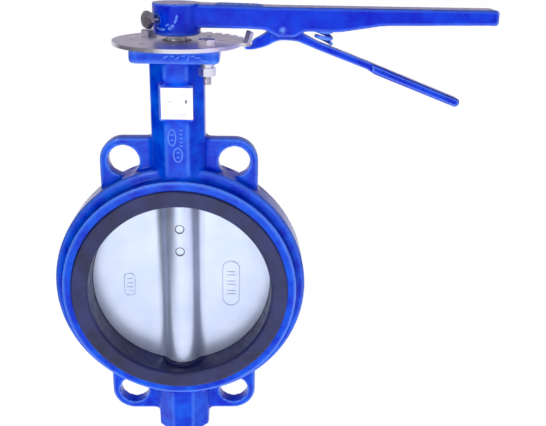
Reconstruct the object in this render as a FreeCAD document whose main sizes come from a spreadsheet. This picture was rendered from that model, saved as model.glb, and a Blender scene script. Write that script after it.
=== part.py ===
import FreeCAD, Part
import math
import os
import Sketcher
from FreeCAD import Vector

# Wafer butterfly valve, nominal size DN 150, worked by a notched hand lever.
#
# Frame: origin at the centre of the bore. Y is the pipe axis, Z is the stem axis and points
# up to the lever. The disc is closed, square across the bore, and the lever points along +X.
# The stem, disc and lever turn together about Z. The trigger turns on its pin in the lever.

DRIVING_SIZES = [
    # bore, disc and liner
    ("disc_radius", 77.8), ("disc_thickness", 10), ("disc_flat_height", 75),
    ("hub_radius", 16.5), ("hub_fillet", 10), ("liner_gap", 0.3), ("liner_wall", 6),
    ("liner_lip_radius", 92.5), ("liner_lip_depth", 2), ("liner_lip_round", 1.8),
    ("liner_boss_radius", 20), ("liner_edge_round", 3),
    # casting
    ("face_to_face", 56), ("core_radius", 100), ("rim_radius", 108), ("rim_width", 34),
    ("bolt_circle_radius", 120), ("ear_angle", 22.5), ("ear_radius", 20), ("ear_hole_radius", 13),
    ("ear_thickness", 13), ("neck_flats", 44), ("boss_flats", 46), ("boss_bottom", -146.5),
    ("pad_half_width", 13.6), ("pad_front", 23.4), ("pad_bottom", 149), ("pad_top", 177.5),
    ("flange_bottom", 195.5), ("flange_top", 206.5), ("flange_width", 70), ("flange_corner", 7),
    ("flange_bolt_offset", 24.75), ("flange_hole_radius", 3.4), ("neck_bore_radius", 12),
    ("counterbore_radius", 15.5), ("counterbore_depth", 4), ("cast_fillet", 6),
    ("cast_edge", 2.5), ("pad_edge", 1), ("web_bite", 1.4), ("web_run", 0.18),
    # stem and its seals
    ("stem_radius", 9.5), ("running_gap", 0.05), ("stem_start", 18), ("stem_shoulder", 211),
    ("stem_top", 232.6), ("square_width", 14), ("square_corner", 1.2), ("stem_bottom", -130),
    ("stem_chamfer", 1), ("upper_pin_height", 54), ("lower_pin_height", 33.5), ("pin_radius", 3.5),
    ("pin_front", 15.8), ("pin_back", 15.8), ("bushing_collar", 0.8), ("ring_section", 1.22),
    ("circlip_radius", 13), ("circlip_groove_radius", 8.7), ("circlip_bottom", 203.7),
    ("circlip_thickness", 1.2), ("plug_top", -134.5), ("plug_bottom", -145.5), ("gasket_thickness", 1.5),
    ("plug_socket", 10), ("plug_socket_depth", 6),
    # position plate
    ("plate_thickness", 3), ("plate_radius", 51), ("sector_radius", 57), ("sector_start", -11),
    ("sector_end", 101), ("notch_pitch", 10), ("notch_count", 10), ("notch_width", 5.2),
    ("lug_angle", 6.6), ("lug_reach", 55.2), ("lug_width", 6.2), ("lug_foot", 0.7), ("lug_height", 11),
    ("lug_lean", 17), ("lug_twist", 40),
    ("drain_hole_radius", 2.4),
    # plate fasteners
    ("thread_radius", 3), ("hexagon_flats", 12), ("bolt_head", 4.6), ("bolt_head_turn", 30),
    ("nut_turn", 10), ("bolt_end", 179.3), ("flat_washer_radius", 6.3),
    ("flat_washer_thickness", 1.4), ("spring_washer_radius", 5.2), ("spring_washer_thickness", 1.8),
    ("nut_height", 6.2),
    # lever
    ("lever_width", 24), ("lever_top", 238.5), ("lever_end_top", 237.5), ("lever_end", 252.9),
    ("lever_hub_radius", 19), ("lever_hub_bottom", 214), ("cheek_thickness", 3.5),
    ("lever_roof", 4.5), ("channel_start", 26), ("channel_end", 247.4), ("lever_edge", 2.2),
    ("socket_depth", 233), ("pivot_across", 83.1), ("pivot_height", 219.6), ("pivot_radius", 2),
    ("pivot_gap", 0.06), ("pivot_recess", 1.5), ("screw_angle", -138), ("screw_height", 226.7),
    ("screw_tip", 9.7), ("screw_head_start", 25.6), ("screw_head", 4),
    # trigger and its spring
    ("trigger_width", 11), ("grip_width", 15), ("claw_width", 4.4), ("claw_taper", 62.5),
    ("claw_limit", 75),
    ("spring_radius", 7.6), ("spring_inner_radius", 4.6),
    ("spring_across", 116.5), ("spring_top", 233.4), ("spring_bottom", 204),
    ("spring_foot_slope", 20), ("spring_foot_height", 209.6),
    # label
    ("label_width", 25), ("label_height", 25), ("label_thickness", 0.4), ("label_middle", 163.3), ("label_shift", 0.8),
]

FULL_TURN = 360

document = FreeCAD.newDocument("butterfly_valve")
sheet = document.addObject("Spreadsheet::Sheet", "dim")
for row, (alias, number) in enumerate(DRIVING_SIZES, start=1):
    sheet.set(f"A{row}", alias)
    sheet.set(f"B{row}", str(number))
    sheet.setAlias(f"B{row}", alias)
document.recompute()


def value(expression):
    """The number that an expression over the sheet's aliases gives."""
    result = sheet.evalExpression(expression)
    return float(getattr(result, "Value", result))


def bind(thing, **expressions):
    """Tie properties of an object to expressions over the sheet; _ stands for a dot."""
    for name, expression in expressions.items():
        thing.setExpression(name.replace("_", "."), expression)


# ---------------------------------------------------------------- sketches

def new_sketch(body, role, name, height=None):
    """A sketch on one of the body's origin planes, raised along its normal by an expression."""
    sketch = body.newObject("Sketcher::SketchObject", f"{body.Name}_{name}")
    plane = [item for item in body.Origin.OriginFeatures if item.Role == role][0]
    sketch.AttachmentSupport = [(plane, "")]
    sketch.MapMode = "FlatFace"
    if height is not None:
        sketch.setExpression("AttachmentOffset.Base.z", height)
    return sketch


def fix_point(sketch, geometry, point, across, up):
    """Dimension one point of a sketch from the sketch's origin."""
    for kind, axis, expression in (("DistanceX", -2, across), ("DistanceY", -1, up)):
        distance = value(expression)
        if abs(distance) < 1e-9:
            sketch.addConstraint(Sketcher.Constraint("PointOnObject", geometry, point, axis))
            continue
        number = sketch.addConstraint(Sketcher.Constraint(kind, -1, 1, geometry, point, distance))
        sketch.setExpression(f"Constraints[{number}]", expression)


def fix_radius(sketch, geometry, radius):
    number = sketch.addConstraint(Sketcher.Constraint("Radius", geometry, value(radius)))
    sketch.setExpression(f"Constraints[{number}]", radius)


def draw_circle(sketch, across, up, radius):
    centre = Vector(value(across), value(up), 0)
    circle = sketch.addGeometry(Part.Circle(centre, Vector(0, 0, 1), value(radius)), False)
    fix_point(sketch, circle, 3, across, up)
    fix_radius(sketch, circle, radius)


def draw_outline(sketch, corners):
    """A closed outline of straight runs.

    Each corner is (across, up) or (across, up, radius), as expressions. A corner with a
    radius is rounded by an arc tangent to its two runs.
    """
    count = len(corners)
    points = [Vector(value(corner[0]), value(corner[1]), 0) for corner in corners]
    starts, ends = {}, {}
    for index, corner in enumerate(corners):
        point = points[index]
        starts[index] = ends[index] = point
        if len(corner) == 3:
            back = (points[index - 1] - point).normalize()
            ahead = (points[(index + 1) % count] - point).normalize()
            reach = value(corner[2]) / math.tan(back.getAngle(ahead) / 2)
            ends[index] = point + back * reach
            starts[index] = point + ahead * reach
    runs = []
    for index in range(count):
        line = Part.LineSegment(starts[index], ends[(index + 1) % count])
        runs.append(sketch.addGeometry(line, False))
    for index, corner in enumerate(corners):
        before, after = runs[index - 1], runs[index]
        if len(corner) == 2:
            sketch.addConstraint(Sketcher.Constraint("Coincident", before, 2, after, 1))
            fix_point(sketch, after, 1, corner[0], corner[1])
            continue
        round_corner(sketch, points[index], ends[index], starts[index], before, after, corner)


def round_corner(sketch, point, arrive, leave, before, after, corner):
    """Join two runs by a tangent arc, with the sharp corner kept as a construction point."""
    radius = value(corner[2])
    inward = ((arrive - point).normalize() + (leave - point).normalize()).normalize()
    depth = math.hypot(radius, (arrive - point).Length)
    centre = point + inward * depth
    left_turn = (point - arrive).cross(leave - point).z > 0
    first, last = (arrive, leave) if left_turn else (leave, arrive)
    angles = [math.atan2(end.y - centre.y, end.x - centre.x) for end in (first, last)]
    circle = Part.Circle(centre, Vector(0, 0, 1), radius)
    arc = sketch.addGeometry(Part.ArcOfCircle(circle, angles[0], angles[1]), False)
    start, end = (1, 2) if left_turn else (2, 1)
    corner_point = sketch.addGeometry(Part.Point(point), True)
    sketch.addConstraint(Sketcher.Constraint("Tangent", before, 2, arc, start))
    sketch.addConstraint(Sketcher.Constraint("Tangent", after, 1, arc, end))
    sketch.addConstraint(Sketcher.Constraint("PointOnObject", corner_point, 1, before))
    sketch.addConstraint(Sketcher.Constraint("PointOnObject", corner_point, 1, after))
    fix_radius(sketch, arc, corner[2])
    fix_point(sketch, corner_point, 1, corner[0], corner[1])


def rectangle(left, bottom, right, top, radius=None):
    corners = [(left, bottom), (right, bottom), (right, top), (left, top)]
    return [corner + (radius,) for corner in corners] if radius else corners


def octagon(flats, radius=None):
    """The corners of a regular octagon with flats facing the axes."""
    half, side = f"{flats} / 2", f"{flats} / 2 * tan(22.5 deg)"
    quarter = [(half, f"-({side})"), (half, side)]
    corners = []
    for turn in range(4):
        for across, up in quarter:
            turned = [(across, up), (f"-({up})", across), (f"-({across})", f"-({up})"), (up, f"-({across})")]
            corners.append(turned[turn])
    return [corner + (radius,) for corner in corners] if radius else corners


# ---------------------------------------------------------------- features

def new_body(name):
    return document.addObject("PartDesign::Body", name)


def pad(body, name, sketch, length, symmetric=False):
    feature = body.newObject("PartDesign::Pad", f"{body.Name}_{name}")
    feature.Profile = sketch
    if symmetric:
        feature.SideType = "Symmetric"
    feature.setExpression("Length", length)
    return feature


def pocket(body, name, sketch, length, symmetric=False):
    """Cut a sketch out of the body. A one-sided cut goes against the sketch's normal."""
    document.recompute()
    before = body.Shape.Volume
    feature = body.newObject("PartDesign::Pocket", f"{body.Name}_{name}")
    feature.Profile = sketch
    if symmetric:
        feature.SideType = "Symmetric"
    feature.setExpression("Length", length)
    document.recompute()
    if feature.Shape.Volume >= before - 1e-6:
        raise RuntimeError(f"{feature.Name} cuts nothing")
    return feature


def revolve(body, name, sketch):
    """Turn a sketch a full circle about its own vertical axis."""
    feature = body.newObject("PartDesign::Revolution", f"{body.Name}_{name}")
    feature.Profile = sketch
    feature.ReferenceAxis = (sketch, ["V_Axis"])
    feature.Angle = FULL_TURN
    return feature


def round_edges(body, name, radius, wanted):
    """Fillet every edge of the body's last feature that passes the test."""
    document.recompute()
    base = body.Tip
    names = [f"Edge{number}" for number, edge in enumerate(base.Shape.Edges, start=1) if wanted(edge)]
    if not names:
        raise RuntimeError(f"{body.Name}_{name} finds no edge")
    feature = body.newObject("PartDesign::Fillet", f"{body.Name}_{name}")
    feature.Base = (base, names)
    feature.setExpression("Radius", radius)
    document.recompute()
    if feature.Shape.isNull() or not feature.Shape.isValid():
        raise RuntimeError(f"{feature.Name} cannot round its edges")
    return feature


def middle(edge):
    return edge.valueAt((edge.FirstParameter + edge.LastParameter) / 2)


def is_line_along(edge, axis):
    if edge.Curve.TypeId != "Part::GeomLine":
        return False
    return abs(abs(edge.Curve.Direction.dot(axis)) - 1) < 1e-6


def turned(name, corners):
    """A body turned about Z; each corner of its half section is (radius, height)."""
    body = new_body(name)
    sketch = new_sketch(body, "XZ_Plane", "section")
    draw_outline(sketch, corners)
    revolve(body, "turn", sketch)
    return body


def tube(name, inner, outer, bottom, top):
    return turned(name, rectangle(inner, bottom, outer, top))


def primitive(kind, name, across="0", depth="0", height="0", **sizes):
    """A Part primitive with its sizes and its place tied to the sheet."""
    solid = document.addObject(f"Part::{kind}", name)
    bind(solid, **sizes)
    bind(solid, Placement_Base_x=across, Placement_Base_y=depth, Placement_Base_z=height)
    return solid


def combine(kind, name, *parts):
    result = document.addObject(f"Part::{kind}", name)
    if kind == "Cut":
        result.Base, result.Tool = parts
    elif kind == "Compound":
        result.Links = list(parts)
    else:
        result.Shapes = list(parts)
    return result


HEXAGON_CIRCUMRADIUS = "dim.hexagon_flats / sqrt(3)"
Y_AXIS = Vector(0, 1, 0)
Z_AXIS = Vector(0, 0, 1)


# ---------------------------------------------------------------- casting

def ear_centre(side, end):
    across = f"{side} * dim.bolt_circle_radius * sin(dim.ear_angle * 1 deg)"
    up = f"{end} * dim.bolt_circle_radius * cos(dim.ear_angle * 1 deg)"
    return across, up


def draw_web(sketch, end, upright_flats):
    """The plate between two ears, with cast radii into the upright and into the rim.

    Its lower run goes along the rim just inside the rim's surface, so that the radius in
    the corner comes out of the rim at a shallow angle.
    """
    across, up = ear_centre(1, end)
    edge = f"({up} + {end} * dim.ear_radius)"
    side = f"({across} + dim.ear_radius)"
    upright = f"({upright_flats} / 2 - dim.web_bite)"
    root = f"sqrt((dim.rim_radius - 2 * dim.web_bite) ^ 2 - {side} ^ 2)"
    right = [
        (upright, f"{edge} + {end} * 2 * dim.cast_fillet"),
        (upright, edge, "dim.cast_fillet"),
        (across, edge),
        (side, up),
        (side, f"{end} * {root}", "2 * dim.cast_fillet"),
        (f"{side} + {root} * dim.web_run", f"{end} * ({root} - {side} * dim.web_run)"),
        (across, f"{end} * {across}"),
    ]
    left = [(f"-({corner[0]})", *corner[1:]) for corner in reversed(right)]
    draw_outline(sketch, right + left)


def build_casting():
    body = new_body("body_casting")
    core = new_sketch(body, "XZ_Plane", "core_outline")
    draw_circle(core, "0", "0", "dim.core_radius")
    pad(body, "core", core, "dim.face_to_face", symmetric=True)
    rim = new_sketch(body, "XZ_Plane", "rim_outline")
    draw_circle(rim, "0", "0", "dim.rim_radius")
    pad(body, "rim", rim, "dim.rim_width", symmetric=True)
    document.recompute()
    round_edges(body, "rim_edges", "dim.cast_edge + 1",
                lambda edge: abs(edge.BoundBox.XLength - 2 * value("dim.rim_radius")) < 0.1)

    for end, name, flats in ((1, "upper", "dim.neck_flats"), (-1, "lower", "dim.boss_flats")):
        web = new_sketch(body, "XZ_Plane", f"{name}_web_outline")
        draw_web(web, end, flats)
        pad(body, f"{name}_web", web, "dim.ear_thickness", symmetric=True)
    lobes = new_sketch(body, "XZ_Plane", "ear_outlines")
    for side in (-1, 1):
        for end in (-1, 1):
            draw_circle(lobes, *ear_centre(side, end), "dim.ear_radius")
    pad(body, "ears", lobes, "dim.ear_thickness", symmetric=True)
    round_ears(body)

    neck = new_sketch(body, "XY_Plane", "neck_outline", "dim.core_radius * 0.6")
    draw_outline(neck, octagon("dim.neck_flats"))
    pad(body, "neck", neck, "dim.flange_bottom - dim.core_radius * 0.6")
    boss = new_sketch(body, "XY_Plane", "boss_outline", "dim.boss_bottom")
    draw_outline(boss, octagon("dim.boss_flats"))
    pad(body, "boss", boss, "-(dim.boss_bottom) - dim.core_radius * 0.6")
    flange = new_sketch(body, "XY_Plane", "flange_outline", "dim.flange_bottom")
    half = "dim.flange_width / 2"
    draw_outline(flange, rectangle(f"-({half})", f"-({half})", half, half, "dim.flange_corner"))
    pad(body, "flange", flange, "dim.flange_top - dim.flange_bottom")
    label_pad = new_sketch(body, "XZ_Plane", "label_pad_outline")
    draw_outline(label_pad, rectangle("-(dim.pad_half_width)", "dim.pad_bottom",
                                      "dim.pad_half_width", "dim.pad_top"))
    pad(body, "label_pad", label_pad, "dim.pad_front")

    cut_casting(body)
    round_casting(body)
    return body

def round_ears(body):
    """Cast radii along the ears' outer edges."""
    ear_face = value("dim.ear_thickness / 2")

    def ear_outer(edge):
        box = edge.BoundBox
        place = middle(edge)
        flat = box.YLength < 0.01 and abs(abs(place.y) - ear_face) < 0.01
        hole = edge.Curve.TypeId == "Part::GeomCircle" and edge.Curve.Radius < value("dim.ear_hole_radius + 1")
        outside = math.hypot(place.x, place.z) > value("dim.rim_radius + 0.5")
        return flat and outside and not hole

    round_edges(body, "ear_edges", "dim.cast_edge - 0.5", ear_outer)


def cut_casting(body):
    """The liner's seat, the ear holes, the stem's passage and the top flange's holes."""
    bore = new_sketch(body, "XZ_Plane", "bore_outline")
    draw_circle(bore, "0", "0", "dim.disc_radius + dim.liner_gap + dim.liner_wall")
    pocket(body, "bore", bore, "dim.face_to_face * 2", symmetric=True)
    holes = new_sketch(body, "XZ_Plane", "ear_hole_outlines")
    for side in (-1, 1):
        for end in (-1, 1):
            draw_circle(holes, *ear_centre(side, end), "dim.ear_hole_radius")
    pocket(body, "ear_holes", holes, "dim.ear_thickness * 2", symmetric=True)
    passage = new_sketch(body, "XY_Plane", "stem_passage_outline")
    draw_circle(passage, "0", "0", "dim.neck_bore_radius")
    pocket(body, "stem_passage", passage, "dim.flange_top * 2 + 10", symmetric=True)
    counterbore = new_sketch(body, "XY_Plane", "counterbore_outline", "dim.flange_top")
    draw_circle(counterbore, "0", "0", "dim.counterbore_radius")
    pocket(body, "counterbore", counterbore, "dim.counterbore_depth")
    bolt_holes = new_sketch(body, "XY_Plane", "flange_hole_outlines", "dim.flange_top")
    for side in ("", "-"):
        for depth in ("", "-"):
            tapped = (side, depth) == ("-", "")
            draw_circle(bolt_holes, f"{side}(dim.flange_bolt_offset)", f"{depth}(dim.flange_bolt_offset)",
                        "dim.thread_radius" if tapped else "dim.flange_hole_radius")
    pocket(body, "flange_holes", bolt_holes, "dim.flange_top - dim.flange_bottom + 1")


def round_casting(body):
    """Cast radii round the flange and the label pad."""
    flange_levels = (value("dim.flange_bottom"), value("dim.flange_top"))

    def flange_outer(edge):
        place = middle(edge)
        far = max(abs(place.x), abs(place.y)) > value("dim.flange_width / 2 - dim.flange_corner")
        return far and any(abs(place.z - level) < 0.01 for level in flange_levels) and edge.BoundBox.ZLength < 0.01

    round_edges(body, "flange_edges", "dim.cast_edge", flange_outer)

    def pad_outer(edge):
        place = middle(edge)
        return abs(place.y + value("dim.pad_front")) < 0.01 and edge.BoundBox.YLength < 0.01

    round_edges(body, "pad_edges", "dim.pad_edge", pad_outer)


# ---------------------------------------------------------------- liner, disc and stem

LINER_BORE = "(dim.disc_radius + dim.liner_gap)"
LINER_OUTER = "(dim.disc_radius + dim.liner_gap + dim.liner_wall)"
STEM_HOLE = "(dim.stem_radius + dim.running_gap)"


def build_liner():
    """A rubber tube with a lip moulded over each face of the casting.

    A flat boss round each stem hole seals against the flat end of the disc's hub.
    """
    body = new_body("seat_liner")
    section = new_sketch(body, "XY_Plane", "section")
    face = "(dim.face_to_face / 2)"
    front = f"({face} + dim.liner_lip_depth)"
    half = [
        (LINER_OUTER, face),
        ("dim.liner_lip_radius", face),
        ("dim.liner_lip_radius", front, "dim.liner_lip_round"),
        (LINER_BORE, front, "dim.liner_edge_round"),
    ]
    draw_outline(section, half + [(corner[0], f"-({corner[1]})", *corner[2:]) for corner in reversed(half)])
    revolve(body, "tube", section)
    for end, name in ((1, "upper"), (-1, "lower")):
        level = f"{end} * (dim.disc_flat_height + dim.liner_gap)"
        boss = new_sketch(body, "XY_Plane", f"{name}_boss_outline", level)
        draw_circle(boss, "0", "0", "dim.liner_boss_radius")
        feature = pad(body, f"{name}_boss", boss, f"{LINER_BORE} + dim.liner_wall / 2 - dim.disc_flat_height")
        feature.Reversed = end < 0
    hole = new_sketch(body, "XY_Plane", "stem_hole_outline")
    draw_circle(hole, "0", "0", STEM_HOLE)
    pocket(body, "stem_holes", hole, "dim.flange_top * 2", symmetric=True)
    return body


def draw_pin_holes(body, name):
    sketch = new_sketch(body, "XZ_Plane", name)
    for height in ("dim.lower_pin_height", "dim.upper_pin_height"):
        draw_circle(sketch, "0", height, "dim.pin_radius")
    pocket(body, f"{name}_cut", sketch, "dim.liner_boss_radius * 4", symmetric=True)


def build_disc():
    """A plate with an upright hub, its rim turned to a ball so that it turns inside the bore."""
    body = new_body("disc")
    plate = new_sketch(body, "XZ_Plane", "plate_outline")
    half = "dim.disc_radius * 1.1"
    draw_outline(plate, rectangle(f"-({half})", f"-({half})", half, half))
    pad(body, "plate", plate, "dim.disc_thickness", symmetric=True)
    hub = new_sketch(body, "XY_Plane", "hub_outline")
    draw_circle(hub, "0", "0", "dim.hub_radius")
    pad(body, "hub", hub, f"2 * {half}", symmetric=True)
    edge_reach = value("dim.hub_radius + 1")
    round_edges(body, "hub_corners", "dim.hub_fillet",
                lambda edge: is_line_along(edge, Z_AXIS) and abs(middle(edge).x) < edge_reach)
    turn_rim(body)
    flats = new_sketch(body, "XZ_Plane", "flat_outlines")
    for end in (1, -1):
        levels = [f"{end} * dim.disc_flat_height", f"{end} * {half}"]
        low, high = levels if end > 0 else levels[::-1]
        draw_outline(flats, rectangle("-(dim.hub_radius) * 2", low, "dim.hub_radius * 2", high))
    pocket(body, "flats", flats, "dim.hub_radius * 4", symmetric=True)
    bore = new_sketch(body, "XY_Plane", "stem_bore_outline")
    draw_circle(bore, "0", "0", "dim.stem_radius")
    pocket(body, "stem_bore", bore, "dim.disc_flat_height * 3", symmetric=True)
    draw_pin_holes(body, "pin_holes")
    return body


def turn_rim(body):
    """Cut away all that lies outside the ball, by a groove turned about the pipe axis."""
    depth, outside = "dim.hub_radius * 1.5", "dim.disc_radius * 1.8"
    edge = f"sqrt(dim.disc_radius ^ 2 - ({depth}) ^ 2)"
    radius, deep, wide, reach = value("dim.disc_radius"), value(depth), value(outside), value(edge)
    sketch = new_sketch(body, "XY_Plane", "rim_outline")
    swing = math.asin(deep / radius)
    arc = sketch.addGeometry(Part.ArcOfCircle(Part.Circle(Vector(0, 0, 0), Z_AXIS, radius), -swing, swing), False)
    corners = [Vector(reach, deep, 0), Vector(wide, deep, 0), Vector(wide, -deep, 0), Vector(reach, -deep, 0)]
    back, outer, front = [sketch_line(sketch, corners[index], corners[index + 1]) for index in range(3)]
    for first, first_end, second, second_end in ((arc, 2, back, 1), (back, 2, outer, 1),
                                                 (outer, 2, front, 1), (front, 2, arc, 1)):
        sketch.addConstraint(Sketcher.Constraint("Coincident", first, first_end, second, second_end))
    sketch.addConstraint(Sketcher.Constraint("Coincident", arc, 3, -1, 1))
    sketch.addConstraint(Sketcher.Constraint("Horizontal", back))
    sketch.addConstraint(Sketcher.Constraint("Horizontal", front))
    fix_radius(sketch, arc, "dim.disc_radius")
    fix_point(sketch, outer, 1, outside, depth)
    fix_point(sketch, outer, 2, outside, f"-({depth})")
    document.recompute()
    before = body.Shape.Volume
    groove = body.newObject("PartDesign::Groove", "disc_rim")
    groove.Profile = sketch
    groove.ReferenceAxis = (sketch, ["V_Axis"])
    groove.Angle = FULL_TURN
    document.recompute()
    if groove.Shape.Volume >= before:
        raise RuntimeError("the disc's rim is not turned")


def sketch_line(sketch, start, end):
    return sketch.addGeometry(Part.LineSegment(start, end), False)


def build_upper_stem():
    """The driving stem: pinned to the hub, grooved for its circlip, squared for the lever."""
    bevel = "dim.stem_chamfer"
    groove_top = "dim.circlip_bottom + dim.circlip_thickness"
    body = turned("upper_stem", [
        ("0", "dim.stem_start"),
        (f"dim.stem_radius - {bevel}", "dim.stem_start"),
        ("dim.stem_radius", f"dim.stem_start + {bevel}"),
        ("dim.stem_radius", "dim.circlip_bottom"),
        ("dim.circlip_groove_radius", "dim.circlip_bottom"),
        ("dim.circlip_groove_radius", groove_top),
        ("dim.stem_radius", groove_top),
        ("dim.stem_radius", "dim.stem_shoulder"),
        ("0", "dim.stem_shoulder"),
    ])
    square = new_sketch(body, "XY_Plane", "square_outline", "dim.stem_shoulder")
    half = "dim.square_width / 2"
    draw_outline(square, rectangle(f"-({half})", f"-({half})", half, half, "dim.square_corner"))
    pad(body, "square", square, "dim.stem_top - dim.stem_shoulder")
    draw_pin_holes(body, "pin_holes")
    return body


def build_lower_stem():
    """The lower journal, free to turn in the hub's bore and in the bottom bushing."""
    body = tube("lower_stem", "0", "dim.stem_radius", "dim.stem_bottom", "-(dim.stem_start)")
    round_edges(body, "ends", "dim.stem_chamfer", lambda edge: edge.BoundBox.ZLength < 0.01)
    return body


def build_hub_pins():
    """Two pins through the hub and the upper stem, their heads just proud of the hub."""
    pins = []
    for name, height in (("upper_hub_pin", "dim.upper_pin_height"), ("lower_hub_pin", "dim.lower_pin_height")):
        pin = primitive("Cylinder", name, depth="dim.pin_back", height=height,
                        Radius="dim.pin_radius", Height="dim.pin_front + dim.pin_back")
        pin.Placement.Rotation = FreeCAD.Rotation(Vector(1, 0, 0), 90)
        pins.append(pin)
    return combine("Compound", "hub_pins", *pins)


def build_bearings_and_seals():
    """The bushings, the rings and the closing plug, from the lever down."""
    counterbore_floor = "dim.flange_top - dim.counterbore_depth"
    bushing = "dim.neck_bore_radius"
    turned("upper_bushing", [
        (STEM_HOLE, "dim.pad_top"),
        (bushing, "dim.pad_top"),
        (bushing, counterbore_floor),
        ("dim.counterbore_radius - 1", counterbore_floor),
        ("dim.counterbore_radius - 1", f"{counterbore_floor} + dim.bushing_collar"),
        (STEM_HOLE, f"{counterbore_floor} + dim.bushing_collar"),
    ])
    tube("middle_bushing", STEM_HOLE, bushing, "dim.core_radius", "dim.bolt_circle_radius")
    tube("lower_bushing", STEM_HOLE, bushing, "-(dim.bolt_circle_radius)", "-(dim.core_radius) + 2")
    ring_path = f"{STEM_HOLE} + dim.ring_section"
    rings = []
    for name, height in (("upper_ring", "dim.pad_top - dim.ring_section"),
                         ("middle_ring", "dim.bolt_circle_radius + dim.ring_section")):
        rings.append(primitive("Torus", name, height=height, Radius1=ring_path, Radius2="dim.ring_section"))
    combine("Compound", "stem_o_rings", *rings)
    primitive("Torus", "lower_o_ring", height="-(dim.core_radius) + 2 + dim.ring_section",
              Radius1=ring_path, Radius2="dim.ring_section")
    tube("stem_dust_seal", STEM_HOLE, bushing, "dim.flange_top", "dim.flange_top + dim.plate_thickness")
    tube("bottom_plug_gasket", "0", bushing, "dim.plug_top", "dim.plug_top + dim.gasket_thickness")

    plug = tube("bottom_plug", "0", bushing, "dim.plug_bottom", "dim.plug_top")
    socket = new_sketch(plug, "XY_Plane", "socket_outline", "dim.plug_bottom + dim.plug_socket_depth")
    draw_hexagon(socket, "dim.plug_socket / sqrt(3)")
    pocket(plug, "socket", socket, "dim.plug_socket_depth + 1")


def draw_hexagon(sketch, circumradius):
    corners = []
    for corner in range(6):
        corners.append((f"{circumradius} * cos({60 * corner} deg)", f"{circumradius} * sin({60 * corner} deg)"))
    draw_outline(sketch, corners)


def build_circlip():
    """A split ring in the stem's groove, under the position plate."""
    top = "dim.circlip_bottom + dim.circlip_thickness"
    body = tube("stem_circlip", "dim.circlip_groove_radius", "dim.circlip_radius", "dim.circlip_bottom", top)
    split = new_sketch(body, "XY_Plane", "split_outline", top)
    draw_outline(split, rectangle("-(dim.stem_radius) * 2", "-(dim.circlip_groove_radius) / 2",
                                  "-(dim.stem_radius) / 2", "dim.circlip_groove_radius / 2"))
    pocket(body, "split", split, "dim.circlip_thickness * 2")
    return body


# ---------------------------------------------------------------- position plate

def build_position_plate():
    """A round plate with a notched sector, one notch for each position of the lever."""
    body = new_body("position_plate")
    disc = new_sketch(body, "XY_Plane", "disc_outline", "dim.flange_top")
    draw_circle(disc, "0", "0", "dim.plate_radius")
    pad(body, "disc", disc, "dim.plate_thickness")
    sector = new_sketch(body, "XY_Plane", "sector_outline", "dim.flange_top")
    draw_sector(sector)
    pad(body, "sector", sector, "dim.plate_thickness")

    top = "dim.flange_top + dim.plate_thickness"
    notch = new_sketch(body, "XY_Plane", "notch_outline", top)
    half = "dim.notch_width / 2"
    draw_outline(notch, rectangle("dim.plate_radius", f"-({half})", "dim.sector_radius * 1.2", half))
    cut = pocket(body, "notch", notch, "dim.plate_thickness * 2")
    ring = body.newObject("PartDesign::PolarPattern", "position_plate_notches")
    ring.Originals = [cut]
    ring.Axis = ([item for item in body.Origin.OriginFeatures if item.Role == "Z_Axis"][0], [""])
    ring.setExpression("Angle", "dim.notch_pitch * (dim.notch_count - 1)")
    ring.setExpression("Occurrences", "dim.notch_count")
    body.Tip = ring

    holes = new_sketch(body, "XY_Plane", "hole_outlines", top)
    draw_circle(holes, "0", "0", "dim.neck_bore_radius")
    for side in ("", "-"):
        for depth in ("", "-"):
            draw_circle(holes, f"{side}(dim.flange_bolt_offset)", f"{depth}(dim.flange_bolt_offset)",
                        "dim.flange_hole_radius" if side != depth else "dim.drain_hole_radius")
    for turn in (180, 270, 360):
        reach = "dim.flange_bolt_offset * sqrt(2)" if turn != 270 else "(dim.flange_bolt_offset + 4)"
        draw_circle(holes, f"{reach} * cos({turn} deg)", f"{reach} * sin({turn} deg)", "dim.drain_hole_radius")
    pocket(body, "holes", holes, "dim.plate_thickness * 2")
    add_stop_lugs(body)
    return body


def draw_sector(sketch):
    """The raised-radius sector: an arc, closed by two runs to the plate's centre."""
    radius = value("dim.sector_radius")
    start, end = (math.radians(value(f"dim.sector_{name}")) for name in ("start", "end"))
    circle = Part.Circle(Vector(0, 0, 0), Z_AXIS, radius)
    arc = sketch.addGeometry(Part.ArcOfCircle(circle, start, end), False)
    tips = [Vector(radius * math.cos(turn), radius * math.sin(turn), 0) for turn in (start, end)]
    first = sketch_line(sketch, Vector(0, 0, 0), tips[0])
    last = sketch_line(sketch, tips[1], Vector(0, 0, 0))
    for a, a_end, b, b_end in ((first, 2, arc, 1), (arc, 2, last, 1), (last, 2, first, 1)):
        sketch.addConstraint(Sketcher.Constraint("Coincident", a, a_end, b, b_end))
    sketch.addConstraint(Sketcher.Constraint("Coincident", arc, 3, -1, 1))
    sketch.addConstraint(Sketcher.Constraint("Coincident", first, 1, -1, 1))
    fix_radius(sketch, arc, "dim.sector_radius")
    for tip, name in ((1, "start"), (2, "end")):
        angle = f"dim.sector_{name} * 1 deg"
        number = sketch.addConstraint(Sketcher.Constraint("DistanceY", -1, 1, arc, tip, tips[tip - 1].y))
        sketch.setExpression(f"Constraints[{number}]", f"dim.sector_radius * sin({angle})")


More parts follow.
